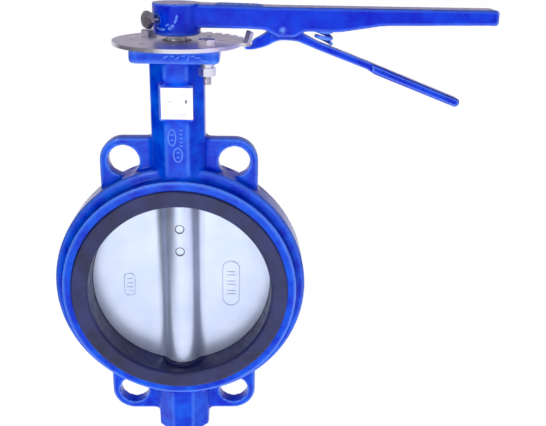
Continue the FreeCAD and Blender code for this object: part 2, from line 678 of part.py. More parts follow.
def add_stop_lugs(body):
    """An upturned lug at each end of the sector, leaning out from the stem and turned aside."""
    lean = FreeCAD.Rotation(Y_AXIS, value("dim.lug_lean"))
    middle_corner = Vector(-value("dim.plate_thickness") / 2, -value("dim.lug_width") / 2, 0)
    foot = Z_AXIS * value("dim.flange_top + dim.lug_foot")
    for name, turn, hand in (("closed_lug", "-(dim.lug_angle)", 1), ("open_lug", "90 + dim.lug_angle", -1)):
        lug = body.newObject("PartDesign::AdditiveBox", f"position_plate_{name}")
        bind(lug, Length="dim.plate_thickness", Width="dim.lug_width", Height="dim.lug_height")
        facing = FreeCAD.Rotation(Z_AXIS, value(turn))
        twist = FreeCAD.Rotation(Z_AXIS, hand * value("dim.lug_twist"))
        rotation = facing * lean * twist
        centre = facing.multVec(Vector(value("dim.lug_reach"), 0, 0)) + foot
        lug.Placement = FreeCAD.Placement(centre + rotation.multVec(middle_corner), rotation)
        document.recompute()


# ---------------------------------------------------------------- fasteners

def build_plate_fasteners():
    """Two bolts through the plate, on one diagonal: the front one has a nut and washers under
    the flange, and the back one is tapped into it."""
    top = "dim.flange_top + dim.plate_thickness"
    below = "dim.flange_bottom - dim.flat_washer_thickness"
    spring_bottom = f"{below} - dim.spring_washer_thickness"
    bolts = []
    for name, side, end in (("front", "", "dim.bolt_end"), ("back", "-", "(dim.flange_bottom + dim.stem_chamfer)")):
        place = {"across": f"{side}(dim.flange_bolt_offset)", "depth": f"-({side}(dim.flange_bolt_offset))"}
        head = primitive("Prism", f"{name}_bolt_head", height=top, **place,
                         Circumradius=HEXAGON_CIRCUMRADIUS, Height="dim.bolt_head")
        head.Placement.Rotation = FreeCAD.Rotation(Z_AXIS, value("dim.bolt_head_turn"))
        crown = primitive("Cone", f"{name}_bolt_crown", height=top, **place,
                          Radius1=f"{HEXAGON_CIRCUMRADIUS} + 1.6 * dim.bolt_head",
                          Radius2="dim.hexagon_flats * 0.48", Height="dim.bolt_head")
        shank = primitive("Cylinder", f"{name}_bolt_shank", height=end, **place,
                          Radius="dim.thread_radius", Height=f"{top} - {end} + 1")
        crowned = combine("MultiCommon", f"{name}_bolt_crowned", head, crown)
        bolts.append(combine("MultiFuse", f"{name}_bolt", crowned, shank))
    combine("Compound", "plate_bolts", *bolts)
    place = {"across": "dim.flange_bolt_offset", "depth": "-(dim.flange_bolt_offset)"}
    nut = primitive("Prism", "nut_blank", height=f"{spring_bottom} - dim.nut_height", **place,
                    Circumradius=HEXAGON_CIRCUMRADIUS, Height="dim.nut_height")
    nut.Placement.Rotation = FreeCAD.Rotation(Z_AXIS, value("dim.nut_turn"))
    drilled("plate_nut", nut, place)
    for name, level in (("flat_washer", below), ("spring_washer", spring_bottom)):
        blank = primitive("Cylinder", f"{name}_blank", height=level, **place,
                          Radius=f"dim.{name}_radius", Height=f"dim.{name}_thickness")
        drilled(f"plate_{name}", blank, place)


def drilled(name, blank, place):
    """A blank with the bolt's hole down its middle."""
    drill = primitive("Cylinder", f"{name}_hole", height="dim.bolt_end", **place,
                      Radius="dim.thread_radius", Height="dim.flange_bottom - dim.bolt_end")
    return combine("Cut", name, blank, drill)


# ---------------------------------------------------------------- lever

def build_lever():
    """A cast channel, open below, with a round hub over the stem's square."""
    body = new_body("lever")
    side = new_sketch(body, "XZ_Plane", "side_outline")
    draw_outline(side, [
        ("0", "dim.lever_top"),
        ("0", "220.2"),
        ("55.7", "220.1"),
        ("69", "219.6", "10"),
        ("79.5", "214.2", "8"),
        ("92.5", "214.2", "8"),
        ("100.5", "218.8", "10"),
        ("127", "218.4", "60"),
        ("162", "224", "60"),
        ("244.6", "225.6"),
        ("dim.lever_end", "225.5", "2"),
        ("dim.lever_end", "dim.lever_end_top", "2.5"),
        ("80", "237.2", "400"),
    ])
    pad(body, "bar", side, "dim.lever_width", symmetric=True)
    hub = new_sketch(body, "XY_Plane", "hub_outline", "dim.lever_hub_bottom")
    draw_circle(hub, "0", "0", "dim.lever_hub_radius")
    pad(body, "hub", hub, "dim.lever_top - dim.lever_hub_bottom")
    round_lever(body)

    channel = new_sketch(body, "XZ_Plane", "channel_outline")
    draw_outline(channel, [
        ("dim.channel_start", "dim.lever_hub_bottom - 5"),
        ("dim.channel_end", "dim.lever_hub_bottom - 5"),
        ("dim.channel_end", "dim.lever_end_top - dim.lever_roof", "2"),
        ("dim.channel_start", "dim.lever_top - dim.lever_roof", "3"),
    ])
    pocket(body, "channel", channel, "dim.lever_width - 2 * dim.cheek_thickness", symmetric=True)
    socket = new_sketch(body, "XY_Plane", "socket_outline", "dim.socket_depth")
    half = "dim.square_width / 2"
    draw_outline(socket, rectangle(f"-({half})", f"-({half})", half, half, "dim.square_corner"))
    pocket(body, "socket", socket, "dim.socket_depth - dim.lever_hub_bottom + 1")
    pivot = new_sketch(body, "XZ_Plane", "pivot_outline")
    draw_circle(pivot, "dim.pivot_across", "dim.pivot_height", "dim.pivot_radius")
    pocket(body, "pivot_holes", pivot, "dim.lever_width * 2", symmetric=True)
    thread = body.newObject("PartDesign::SubtractiveCylinder", "lever_screw_thread")
    bind(thread, Radius="dim.thread_radius", Height="dim.lever_hub_radius * 2")
    thread.Placement = screw_place(value("dim.square_width / 2 - 1"))
    document.recompute()
    return body


def round_lever(body):
    """The casting's rounded outer edges, along the top and round the hub."""
    half = value("dim.lever_width / 2")

    def top_edge(edge):
        place = middle(edge)
        on_side = abs(abs(place.y) - half) < 0.01 and edge.BoundBox.YLength < 0.01
        return on_side and place.z > value("dim.lever_top - 8") and edge.BoundBox.XLength > 20

    def hub_rim(edge):
        levels = (edge.BoundBox.ZMin, edge.BoundBox.ZMax)
        return all(abs(level - value("dim.lever_hub_bottom")) < 0.01 for level in levels)

    round_edges(body, "top_edges", "dim.lever_edge", top_edge)
    round_edges(body, "hub_rim", "dim.lever_edge", hub_rim)


def screw_place(reach):
    """Where a radial piece of the clamp screw starts, and its direction as a rotation of Z."""
    turn = math.radians(value("dim.screw_angle"))
    outward = Vector(math.cos(turn), math.sin(turn), 0)
    base = outward * reach + Z_AXIS * value("dim.screw_height")
    return FreeCAD.Placement(base, FreeCAD.Rotation(Z_AXIS, outward))


def build_clamp_screw():
    """A hexagon-headed screw that bears radially on the stem's square."""
    shank = document.addObject("Part::Cylinder", "clamp_screw_shank")
    bind(shank, Radius="dim.thread_radius", Height="dim.screw_head_start - dim.screw_tip + 1")
    shank.Placement = screw_place(value("dim.screw_tip"))
    head = document.addObject("Part::Prism", "clamp_screw_head")
    bind(head, Circumradius=HEXAGON_CIRCUMRADIUS, Height="dim.screw_head")
    head.Placement = screw_place(value("dim.screw_head_start"))
    crown = document.addObject("Part::Cone", "clamp_screw_crown")
    bind(crown, Radius1=f"{HEXAGON_CIRCUMRADIUS} + 1.6 * dim.screw_head",
         Radius2="dim.hexagon_flats * 0.48", Height="dim.screw_head")
    crown.Placement = screw_place(value("dim.screw_head_start"))
    crowned = combine("MultiCommon", "clamp_screw_crowned", head, crown)
    return combine("MultiFuse", "lever_clamp_screw", crowned, shank)


# ---------------------------------------------------------------- trigger

def build_trigger():
    """The grip, its pivot boss, and the claw that reaches under the plate's rim."""
    body = new_body("trigger")
    side = new_sketch(body, "XZ_Plane", "side_outline")
    draw_outline(side, [
        ("53.5", "203", "1.3"),
        ("61", "203", "8"),
        ("69.5", "205.4", "14"),
        ("80.5", "211.2", "16"),
        ("95", "210.6", "18"),
        ("112", "203.9", "60"),
        ("152", "189.2", "5"),
        ("158.5", "185.2", "8"),
        ("227.7", "158.9", "3"),
        ("231.8", "164.9", "3"),
        ("152", "195.6", "60"),
        ("112", "210.5", "40"),
        ("99.5", "216.8", "14"),
        ("93.5", "224.8", "7"),
        ("77", "225", "8"),
        ("70.5", "216.6", "14"),
        ("61.5", "211.8", "4"),
        ("59.2", "209.6", "1"),
        ("59.2", "206.1"),
        ("53.5", "206.1", "0.8"),
    ])
    pad(body, "arm", side, "dim.trigger_width", symmetric=True)
    grip = new_sketch(body, "XZ_Plane", "grip_outline")
    draw_outline(grip, [
        ("156", "188.1"),
        ("159.5", "186.2", "6"),
        ("227.2", "160.2", "2.4"),
        ("230.4", "164.7", "2.4"),
        ("156", "193"),
    ])
    pad(body, "grip", grip, "dim.grip_width", symmetric=True)
    claw = new_sketch(body, "XY_Plane", "claw_sides_outline", "dim.plate_radius + 170")
    half = "dim.claw_width / 2"
    for side in ("", "-"):
        outline = [("dim.plate_radius - 2", half), ("dim.claw_taper", half), ("dim.claw_limit", "dim.trigger_width / 2"),
                   ("dim.claw_limit", "dim.grip_width"), ("dim.plate_radius - 2", "dim.grip_width")]
        draw_outline(claw, [(across, f"{side}({up})") for across, up in outline])
    pocket(body, "claw_sides", claw, "30")
    pivot = new_sketch(body, "XZ_Plane", "pivot_outline")
    draw_circle(pivot, "dim.pivot_across", "dim.pivot_height", "dim.pivot_radius + dim.pivot_gap")
    pocket(body, "pivot_hole", pivot, "dim.lever_width * 2", symmetric=True)
    return body


def build_pivot_pin():
    half = "(dim.lever_width / 2 - dim.pivot_recess)"
    pin = primitive("Cylinder", "trigger_pivot_pin", "dim.pivot_across", half,
                    "dim.pivot_height", Radius="dim.pivot_radius", Height=f"2 * {half}")
    pin.Placement.Rotation = FreeCAD.Rotation(Vector(1, 0, 0), 90)
    return pin


def build_trigger_spring():
    """The outer shape of the compression coil: a sleeve with its foot cut along the grip."""
    place = {"across": "dim.spring_across", "height": "dim.spring_bottom"}
    outer = primitive("Cylinder", "spring_outer", **place, Radius="dim.spring_radius",
                      Height="dim.spring_top - dim.spring_bottom")
    inner = primitive("Cylinder", "spring_inner", **place, Radius="dim.spring_inner_radius",
                      Height="dim.spring_top - dim.spring_bottom")
    sleeve = combine("Cut", "spring_sleeve", outer, inner)
    foot = document.addObject("Part::Box", "spring_foot_cut")
    bind(foot, Length="dim.spring_radius * 6", Width="dim.spring_radius * 4", Height="dim.spring_radius * 4")
    slope = FreeCAD.Rotation(Y_AXIS, value("dim.spring_foot_slope"))
    corner = Vector(-value("dim.spring_radius * 3"), -value("dim.spring_radius * 2"), -value("dim.spring_radius * 4"))
    base = Vector(value("dim.spring_across"), 0, value("dim.spring_foot_height")) + slope.multVec(corner)
    foot.Placement = FreeCAD.Placement(base, slope)
    return combine("Cut", "trigger_spring", sleeve, foot)


def build_nameplate():
    """A thin blank label on the neck's front pad."""
    return primitive("Box", "nameplate", "dim.label_shift - dim.label_width / 2",
                     "-(dim.pad_front) - dim.label_thickness", "dim.label_middle - dim.label_height / 2",
                     Length="dim.label_width", Width="dim.label_thickness", Height="dim.label_height")


NODES = [
    "body_casting", "seat_liner", "disc", "upper_stem", "lower_stem", "hub_pins", "upper_bushing",
    "middle_bushing", "lower_bushing", "stem_o_rings", "lower_o_ring", "stem_dust_seal", "stem_circlip",
    "bottom_plug", "bottom_plug_gasket", "position_plate", "plate_bolts", "plate_nut",
    "plate_flat_washer", "plate_spring_washer", "lever", "lever_clamp_screw", "trigger",
    "trigger_pivot_pin", "trigger_spring", "nameplate",
]


def build_all():
    build_casting()
    build_liner()
    build_disc()
    build_upper_stem()
    build_lower_stem()
    build_hub_pins()
    build_bearings_and_seals()
    build_circlip()
    build_position_plate()
    build_plate_fasteners()
    build_lever()
    build_clamp_screw()
    build_trigger()
    build_pivot_pin()
    build_trigger_spring()
    build_nameplate()


def check_and_export():
    """Stop on any failed object, then write one STEP file for each node."""
    document.recompute()
    for thing in document.Objects:
        if "Invalid" in thing.State or "Error" in thing.State:
            raise RuntimeError(f"{thing.Name} has failed: {thing.State}")
    os.makedirs("parts", exist_ok=True)
    for name in NODES:
        shape = document.getObject(name).Shape
        if shape.isNull() or not shape.isValid() or shape.Volume <= 0:
            raise RuntimeError(f"{name} has no valid shape")
        shape.exportStep(f"parts/{name}.step")
        print(f"{name}: {len(shape.Solids)} solid(s), {shape.Volume:.0f} mm3")


build_all()
check_and_export()
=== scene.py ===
import bpy
import bmesh
import math
import numpy as np
from mathutils import Matrix, Vector, noise


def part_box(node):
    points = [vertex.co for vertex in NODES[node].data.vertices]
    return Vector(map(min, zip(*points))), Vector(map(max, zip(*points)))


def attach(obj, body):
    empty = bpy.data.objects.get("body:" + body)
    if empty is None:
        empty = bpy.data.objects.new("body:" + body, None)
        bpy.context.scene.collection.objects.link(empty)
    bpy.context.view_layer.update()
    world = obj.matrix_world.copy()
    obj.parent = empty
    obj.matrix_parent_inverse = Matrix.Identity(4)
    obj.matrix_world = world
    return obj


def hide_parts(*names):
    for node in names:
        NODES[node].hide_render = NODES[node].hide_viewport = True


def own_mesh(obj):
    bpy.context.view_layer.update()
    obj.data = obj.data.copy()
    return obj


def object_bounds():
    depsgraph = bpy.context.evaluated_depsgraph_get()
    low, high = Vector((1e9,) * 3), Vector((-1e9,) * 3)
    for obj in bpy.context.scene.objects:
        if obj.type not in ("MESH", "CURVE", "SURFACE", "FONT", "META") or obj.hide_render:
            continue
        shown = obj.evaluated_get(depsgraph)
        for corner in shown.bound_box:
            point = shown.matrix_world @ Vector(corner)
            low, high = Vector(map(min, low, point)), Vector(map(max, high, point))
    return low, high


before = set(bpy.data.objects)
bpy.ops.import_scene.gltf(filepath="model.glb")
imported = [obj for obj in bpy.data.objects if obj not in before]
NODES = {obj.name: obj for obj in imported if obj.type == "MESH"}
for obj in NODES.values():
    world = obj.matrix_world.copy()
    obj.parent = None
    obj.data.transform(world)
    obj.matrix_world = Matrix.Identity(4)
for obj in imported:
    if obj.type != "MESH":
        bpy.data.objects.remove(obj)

# The visual model of a DN 150 wafer butterfly valve. Metres. Y is the pipe axis and Z the stem
# axis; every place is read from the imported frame.

CAD_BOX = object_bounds()
SCENE = bpy.context.scene
MM = 0.001
ROOT, TURNING, TRIGGER = "valve_body", "disc_and_lever", "trigger"
X_AXIS, Y_AXIS, Z_AXIS = Vector((1, 0, 0)), Vector((0, 1, 0)), Vector((0, 0, 1))

# Places that the marks sit on, as the CAD has them.
NECK_FRONT = -21.85 * MM
FLANGE_FRONT = -34.75 * MM
DISC_FRONT = -5 * MM
DISC_HUB_RADIUS = 16.5 * MM
PIN_HEIGHTS, PIN_RING_RADIUS = (54, 33.5), 3.7
LEVER_RIDGE, LEVER_FALL = 238.35 * MM, 0.0162
BEAD_SINK = 0.5 * MM

# The bolt's thread and the trigger's coil.
THREAD_RADIUS, THREAD_PITCH, THREAD_WIRE = 3 * MM, 1.0 * MM, 0.28 * MM
COIL_WIRE, COIL_TURNS, COIL_FOOT_SLOPE = 1.5 * MM, 4.2, math.radians(20)

# The camera and the floor.
CAMERA_PLACE = (0.05317, -0.61655, 0.29552)
CAMERA_PITCH, CAMERA_YAW, CAMERA_ROLL = math.radians(20.61), math.radians(-2.43), math.radians(1.31)
CAMERA_LENS, CAMERA_SENSOR = 50.29, 36
FLOOR_REACH, FLOOR_GAP = 6.0, 0.3 * MM


def box(node):
    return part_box(node)


# ---------------------------------------------------------------- materials

def linear(red, green, blue):
    """An 8-bit display colour as linear light."""
    channels = []
    for level in (red, green, blue):
        share = level / 255
        channels.append(share / 12.92 if share <= 0.04045 else ((share + 0.055) / 1.055) ** 2.4)
    return (*channels, 1.0)


class Material:
    """A small helper round one node tree: object coordinates, noise, ramps and bump."""

    def __init__(self, name, **sockets):
        self.data = bpy.data.materials.new(name)
        self.data.use_nodes = True
        self.tree = self.data.node_tree
        self.shader = self.tree.nodes["Principled BSDF"]
        self.coordinates = self.tree.nodes.new("ShaderNodeTexCoord").outputs["Object"]
        self.normal = None
        for socket, setting in sockets.items():
            self.shader.inputs[socket.replace("_", " ")].default_value = setting

    def node(self, kind, **settings):
        made = self.tree.nodes.new(f"ShaderNode{kind}")
        for name, setting in settings.items():
            setattr(made, name, setting)
        return made

    def link(self, source, target):
        self.tree.links.new(source, target)

    def noise(self, size, detail=3.0, roughness=0.5, stretch=(1, 1, 1)):
        """Noise whose features are about size metres across."""
        mapping = self.node("Mapping")
        mapping.inputs["Scale"].default_value = stretch
        texture = self.node("TexNoise")
        texture.inputs["Scale"].default_value = 1 / size
        texture.inputs["Detail"].default_value = detail
        texture.inputs["Roughness"].default_value = roughness
        self.link(self.coordinates, mapping.inputs["Vector"])
        self.link(mapping.outputs["Vector"], texture.inputs["Vector"])
        return texture.outputs["Fac"]

    def ramp(self, source, *stops):
        """A colour ramp; each stop is (position, colour)."""
        made = self.node("ValToRGB")
        ramp = made.color_ramp
        while len(ramp.elements) < len(stops):
            ramp.elements.new(0.5)
        for element, (position, colour) in zip(ramp.elements, stops):
            element.position = position
            plain = isinstance(colour, (int, float))
            element.color = (colour, colour, colour, 1) if plain else colour
        self.link(source, made.inputs["Fac"])
        return made.outputs["Color"]

    def mix(self, share, first, second):
        """Blend two colours; share is a socket or a number."""
        made = self.node("Mix", data_type="RGBA")
        factor, colour_a, colour_b = made.inputs[0], made.inputs[6], made.inputs[7]
        for socket, source in ((factor, share), (colour_a, first), (colour_b, second)):
            if hasattr(source, "is_linked"):
                self.link(source, socket)
            else:
                socket.default_value = source
        return made.outputs[2]

    def edges(self, low=0.5, high=0.56):
        """White along the sharp outer edges."""
        geometry = self.node("NewGeometry")
        return self.ramp(geometry.outputs["Pointiness"], (low, 0.0), (high, 1.0))

    def colour(self, source):
        self.link(source, self.shader.inputs["Base Color"])

    def roughness(self, source):
        self.link(source, self.shader.inputs["Roughness"])

    def bump(self, source, height, strength=1.0):
        """Adds one layer of relief, height metres deep, over those already there."""
        made = self.node("Bump")
        made.inputs["Strength"].default_value = strength
        made.inputs["Distance"].default_value = height
        self.link(source, made.inputs["Height"])
        if self.normal is not None:
            self.link(self.normal, made.inputs["Normal"])
        self.normal = made.outputs["Normal"]
        self.link(self.normal, self.shader.inputs["Normal"])


def blue_enamel(name, deep, lively):
    """Thick glossy paint over rough cast iron, paler on the edges: partly thin, worn paint and
    partly a painted highlight.
    """
    made = Material(name, Specular_IOR_Level=0.22, IOR=1.45)
    cloud = made.ramp(made.noise(14 * MM, detail=4), (0.35, deep), (0.68, lively))
    # Pale edges: partly thin, worn paint and partly a painted highlight where the edges catch the
    # light.
    edge_wear_and_highlight = made.ramp(made.edges(0.505, 0.55), (0, 0.0), (1, 0.65))
    made.colour(made.mix(edge_wear_and_highlight, cloud, linear(116, 168, 255)))
    made.roughness(made.ramp(made.noise(5 * MM), (0.3, 0.1), (0.7, 0.24)))
    made.bump(made.noise(7 * MM, detail=2), 0.5 * MM, 0.45)
    made.bump(made.noise(1.7 * MM, detail=4), 0.2 * MM, 0.75)
    return made.data


def liner_rubber():
    """Satin moulded rubber with a faint bloom and fine mould marks."""
    made = Material("liner_rubber", IOR=1.5)
    dark, bloom = linear(12, 18, 58), linear(32, 40, 98)
    made.colour(made.ramp(made.noise(22 * MM, detail=5), (0.3, dark), (0.75, bloom)))
    made.roughness(made.ramp(made.noise(6 * MM), (0.3, 0.34), (0.7, 0.52)))
    made.bump(made.noise(0.9 * MM, detail=3), 0.06 * MM, 0.5)
    return made.data


def disc_metal():
    """Fine-grained satin metal, faintly clouded."""
    made = Material("disc_metal", Metallic=0.76)
    cool, pale = linear(200, 212, 238), linear(213, 223, 246)
    made.colour(made.ramp(made.noise(26 * MM, detail=5), (0.3, cool), (0.7, pale)))
    made.roughness(made.ramp(made.noise(3 * MM, detail=4), (0.3, 0.29), (0.7, 0.37)))
    made.bump(made.noise(0.7 * MM, detail=3), 0.008 * MM, 0.4)
    made.bump(made.noise(14 * MM, detail=2), 0.06 * MM, 0.25)
    return made.data


def zinc_plate():
    """Zinc plating: mottled, brushed in one direction, with a painted highlight along the edges."""
    made = Material("zinc_plating", Metallic=1.0)
    dull, bright = linear(176, 168, 176), linear(218, 212, 220)
    mottle = made.ramp(made.noise(8 * MM, detail=6), (0.3, dull), (0.7, bright))
    # Painted highlight: the sharp edges are blended towards near-white.
    made.colour(made.mix(made.edges(0.53, 0.64), mottle, linear(230, 231, 243)))
    made.roughness(made.ramp(made.noise(2 * MM, detail=4), (0.3, 0.28), (0.7, 0.48)))
    made.bump(made.noise(0.6 * MM, stretch=(1, 14, 1)), 0.02 * MM, 0.5)
    return made.data


def turned_steel(name, dull, bright, low=0.2, high=0.4):
    """Turned steel, with fine rings round Z."""
    made = Material(name, Metallic=1.0)
    made.colour(made.ramp(made.noise(5 * MM, detail=4), (0.3, dull), (0.7, bright)))
    made.roughness(made.ramp(made.noise(2 * MM), (0.3, low), (0.7, high)))
    made.bump(made.noise(4 * MM, stretch=(0.3, 0.3, 22)), 0.02 * MM, 0.5)
    return made.data


def plain_plastic(name, dull, bright, roughness=0.5):
    made = Material(name, IOR=1.48)
    made.colour(made.ramp(made.noise(6 * MM, detail=3), (0.3, dull), (0.7, bright)))
    made.roughness(made.ramp(made.noise(3 * MM), (0.3, roughness - 0.08), (0.7, roughness + 0.08)))
    made.bump(made.noise(0.8 * MM), 0.02 * MM, 0.4)
    return made.data


BODY_BLUE = blue_enamel("body_enamel", linear(0, 38, 188), linear(0, 84, 218))
LEVER_BLUE = blue_enamel("lever_enamel", linear(0, 26, 184), linear(0, 58, 208))
RUBBER = liner_rubber()
DISC_METAL = disc_metal()
ZINC = zinc_plate()
SCREW_STEEL = turned_steel("screw_steel", linear(120, 118, 126), linear(182, 180, 190), 0.25, 0.42)
STEM_STEEL = turned_steel("stem_steel", linear(150, 150, 154), linear(196, 196, 200))
# On the circlip this is the steel's own colour; on the pin rings it is painted shade.
DARK_STEEL_AND_SHADE = turned_steel("dark_steel", linear(70, 68, 74), linear(128, 124, 132), 0.3, 0.5)
BUSHING = plain_plastic("bushing_plastic", linear(196, 192, 180), linear(220, 216, 206))
LABEL = plain_plastic("label_film", linear(236, 236, 240), linear(250, 250, 252), 0.35)
INK = plain_plastic("label_ink", linear(84, 82, 96), linear(120, 118, 130), 0.5)

NODE_MATERIALS = {
    "body_casting": BODY_BLUE, "seat_liner": RUBBER, "disc": DISC_METAL, "upper_stem": STEM_STEEL,
    "lower_stem": STEM_STEEL, "hub_pins": DISC_METAL, "upper_bushing": BUSHING,
    "middle_bushing": BUSHING, "lower_bushing": BUSHING, "stem_o_rings": RUBBER,
    "lower_o_ring": RUBBER, "stem_dust_seal": RUBBER, "stem_circlip": DARK_STEEL_AND_SHADE,
    "bottom_plug": ZINC, "bottom_plug_gasket": RUBBER, "position_plate": ZINC,
    "plate_bolts": ZINC, "plate_nut": ZINC, "plate_flat_washer": ZINC,
    "plate_spring_washer": ZINC, "lever": LEVER_BLUE, "lever_clamp_screw": SCREW_STEEL,
    "trigger": LEVER_BLUE, "trigger_pivot_pin": LEVER_BLUE, "trigger_spring": LEVER_BLUE,
    "nameplate": LABEL,
}


def paint(piece, material):
    piece.data.materials.clear()
    piece.data.materials.append(material)


for node_name, node_material in NODE_MATERIALS.items():
    paint(NODES[node_name], node_material)


# ---------------------------------------------------------------- mesh helpers

def link_mesh(name, mesh, body, material):
    """A finished mesh as a piece that rides on a body."""
    piece = bpy.data.objects.new(name, mesh)
    SCENE.collection.objects.link(piece)
    paint(piece, material)
    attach(piece, body)
    return piece


def shade_smooth(mesh, angle=None):
    mesh.polygons.foreach_set("use_smooth", [True] * len(mesh.polygons))
    if angle is not None:
        mesh.set_sharp_from_angle(angle=math.radians(angle))


def apply_modifiers(piece):
    """The piece's mesh as its modifiers leave it."""
    graph = bpy.context.evaluated_depsgraph_get()
    mesh = bpy.data.meshes.new_from_object(piece.evaluated_get(graph))
    piece.modifiers.clear()
    piece.data = mesh
    return mesh


def soften_casting(node, body, voxel, passes, grain):
    """A casting's skin: the node's solid remeshed and smoothed, so that every corner has the
    radius that sand and paint give it, then roughened inwards by a fine grain."""
    source = NODES[node]
    piece = bpy.data.objects.new(f"{node}_skin", source.data.copy())
    SCENE.collection.objects.link(piece)
    remesh = piece.modifiers.new("remesh", "REMESH")
    remesh.mode = "VOXEL"
    remesh.voxel_size = voxel
    smooth = piece.modifiers.new("smooth", "SMOOTH")
    smooth.factor = 0.5
    smooth.iterations = passes
    mesh = apply_modifiers(piece)
    bpy.data.objects.remove(piece)
    roughen(mesh, grain)
    shade_smooth(mesh)
    skin = link_mesh(f"{node}_skin", mesh, body, NODE_MATERIALS[node])
    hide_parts(node)


def read_vertices(mesh, attribute):
    values = np.zeros(len(mesh.vertices) * 3, np.float32)
    mesh.vertices.foreach_get(attribute, values)
    return values.reshape(-1, 3)


def roughen(mesh, depth, size=3.2 * MM):
    """Push points inwards by soft noise, never outwards."""
    places, normals = read_vertices(mesh, "co"), read_vertices(mesh, "normal")
    levels = np.array([noise.noise(place) + noise.noise(place / 3.4) for place in places / size])
    places -= normals * (depth * (0.5 + 0.25 * levels))[:, None]
    mesh.vertices.foreach_set("co", places.ravel())
    mesh.update()


def bevelled(node, width, segments=2, angle=35):
    """Round a CAD node's edges without changing its mesh."""
    piece = NODES[node]
    shade_smooth(piece.data, 30)
    bevel = piece.modifiers.new("edges", "BEVEL")
    bevel.width = width
    bevel.segments = segments
    bevel.limit_method = "ANGLE"
    bevel.angle_limit = math.radians(angle)
    bevel.harden_normals = True


# ---------------------------------------------------------------- castings

def build_castings():
    """The three painted castings: voxel size, smoothing passes and depth of grain."""
    soften_casting("body_casting", ROOT, 1.3 * MM, 4, 0.25 * MM)
    soften_casting("lever", TURNING, 0.8 * MM, 5, 0.16 * MM)
    soften_casting("trigger", TRIGGER, 0.7 * MM, 4, 0.14 * MM)


# ---------------------------------------------------------------- spring

def tube_along(name, points, radius, sides=14):
    """A round wire through points, with closed ends."""
    mesh = bpy.data.meshes.new(name)
    build = bmesh.new()
    rings = []
    side = Vector((0, 1, 0))
    for index, point in enumerate(points):
        ahead = points[min(index + 1, len(points) - 1)] - points[max(index - 1, 0)]
        ahead.normalize()
        side = (side - ahead * side.dot(ahead)).normalized()
        up = ahead.cross(side)
        ring = []
        for step in range(sides):
            turn = 2 * math.pi * step / sides
            out = side * math.cos(turn) + up * math.sin(turn)
            ring.append(build.verts.new(point + out * radius))
        rings.append(ring)
    for first, second in zip(rings, rings[1:]):
        for step in range(sides):
            following = (step + 1) % sides
            build.faces.new((first[step], first[following], second[following], second[step]))
    build.faces.new(reversed(rings[0]))
    build.faces.new(rings[-1])
    bmesh.ops.recalc_face_normals(build, faces=build.faces)
    build.to_mesh(mesh)
    build.free()
    shade_smooth(mesh, 50)
    return mesh


def build_spring():
    """The compression coil, its foot turned to lie along the grip."""
    low, high = box("trigger_spring")
    centre = (low + high) / 2
    radius = (high.x - low.x) / 2 - COIL_WIRE
    fall = math.tan(COIL_FOOT_SLOPE)
    top = high.z - COIL_WIRE
    steps = 150
    points = []
    for step in range(steps + 1):
        share = step / steps
        turn = 2 * math.pi * COIL_TURNS * share
        across, depth = math.cos(turn) * radius, math.sin(turn) * radius
        foot = low.z + COIL_WIRE + radius * fall * 1.05 - across * fall
        rise = share ** 1.15
        points.append(Vector((centre.x + across, centre.y + depth, foot + (top - foot) * rise)))
    mesh = tube_along("trigger_coil", points, COIL_WIRE)
    coil = link_mesh("trigger_coil", mesh, TURNING, LEVER_BLUE)
    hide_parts("trigger_spring")
    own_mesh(coil)


# ---------------------------------------------------------------- raised marks, print and thread

def on_plane(origin, across, up):
    """Places on a flat face: across and up are unit vectors, out is their cross product."""
    out = across.cross(up)
    return lambda u, v, height: origin + across * u + up * v + out * height


def on_drum(radius):
    """Places on an upright drum round the stem axis, u measured round it from the front."""
    def place(u, v, height):
        turn = u / radius
        out = Vector((math.sin(turn), -math.cos(turn), 0))
        return out * (radius + height) + Vector((0, 0, v))
    return place


def add_bead(build, place, path, width, height, closed):
    """A half-round bead along a path on a face, sunk a little into it."""
    section = ((-0.5, -BEAD_SINK), (-0.46, 0.45 * height), (-0.24, 0.9 * height), (0.0, height),
               (0.24, 0.9 * height), (0.46, 0.45 * height), (0.5, -BEAD_SINK))
    points = [Vector(point) for point in path]
    count = len(points)
    rings = []
    for index, point in enumerate(points):
        before = points[index - 1] if closed or index else point
        after = points[(index + 1) % count] if closed or index < count - 1 else point
        along = (after - before).normalized()
        side = Vector((-along.y, along.x))
        end = not closed and index in (0, count - 1)
        spread, rise = (0.6, 0.45) if end else (1.0, 1.0)
        ring = []
        for share, level in section:
            spot = point + side * (share * width * spread)
            lift = level * rise if level > 0 else level
            ring.append(build.verts.new(place(spot.x, spot.y, lift)))
        rings.append(ring)
    pairs = list(zip(rings, rings[1:])) + ([(rings[-1], rings[0])] if closed else [])
    for first, second in pairs:
        for step in range(len(section)):
            following = (step + 1) % len(section)
            build.faces.new((first[step], second[step], second[following], first[following]))
    if not closed:
        build.faces.new(rings[0])
        build.faces.new(reversed(rings[-1]))


def oval(across, up, half_width, half_height, steps=36, power=2.0):
    """A closed oval; a higher power squares its corners."""
    path = []
    for step in range(steps):
        turn = 2 * math.pi * step / steps
        cosine, sine = math.cos(turn), math.sin(turn)
        path.append((across + half_width * math.copysign(abs(cosine) ** (2 / power), cosine),
                     up + half_height * math.copysign(abs(sine) ** (2 / power), sine)))
    return path


def dash(across, up, length, angle=0.0, steps=4):
    """A straight stroke about its middle."""
    turn = math.radians(angle)
    half = Vector((math.cos(turn), math.sin(turn))) * (length / 2)
    return [Vector((across, up)) + half * (2 * step / steps - 1) for step in range(steps + 1)]


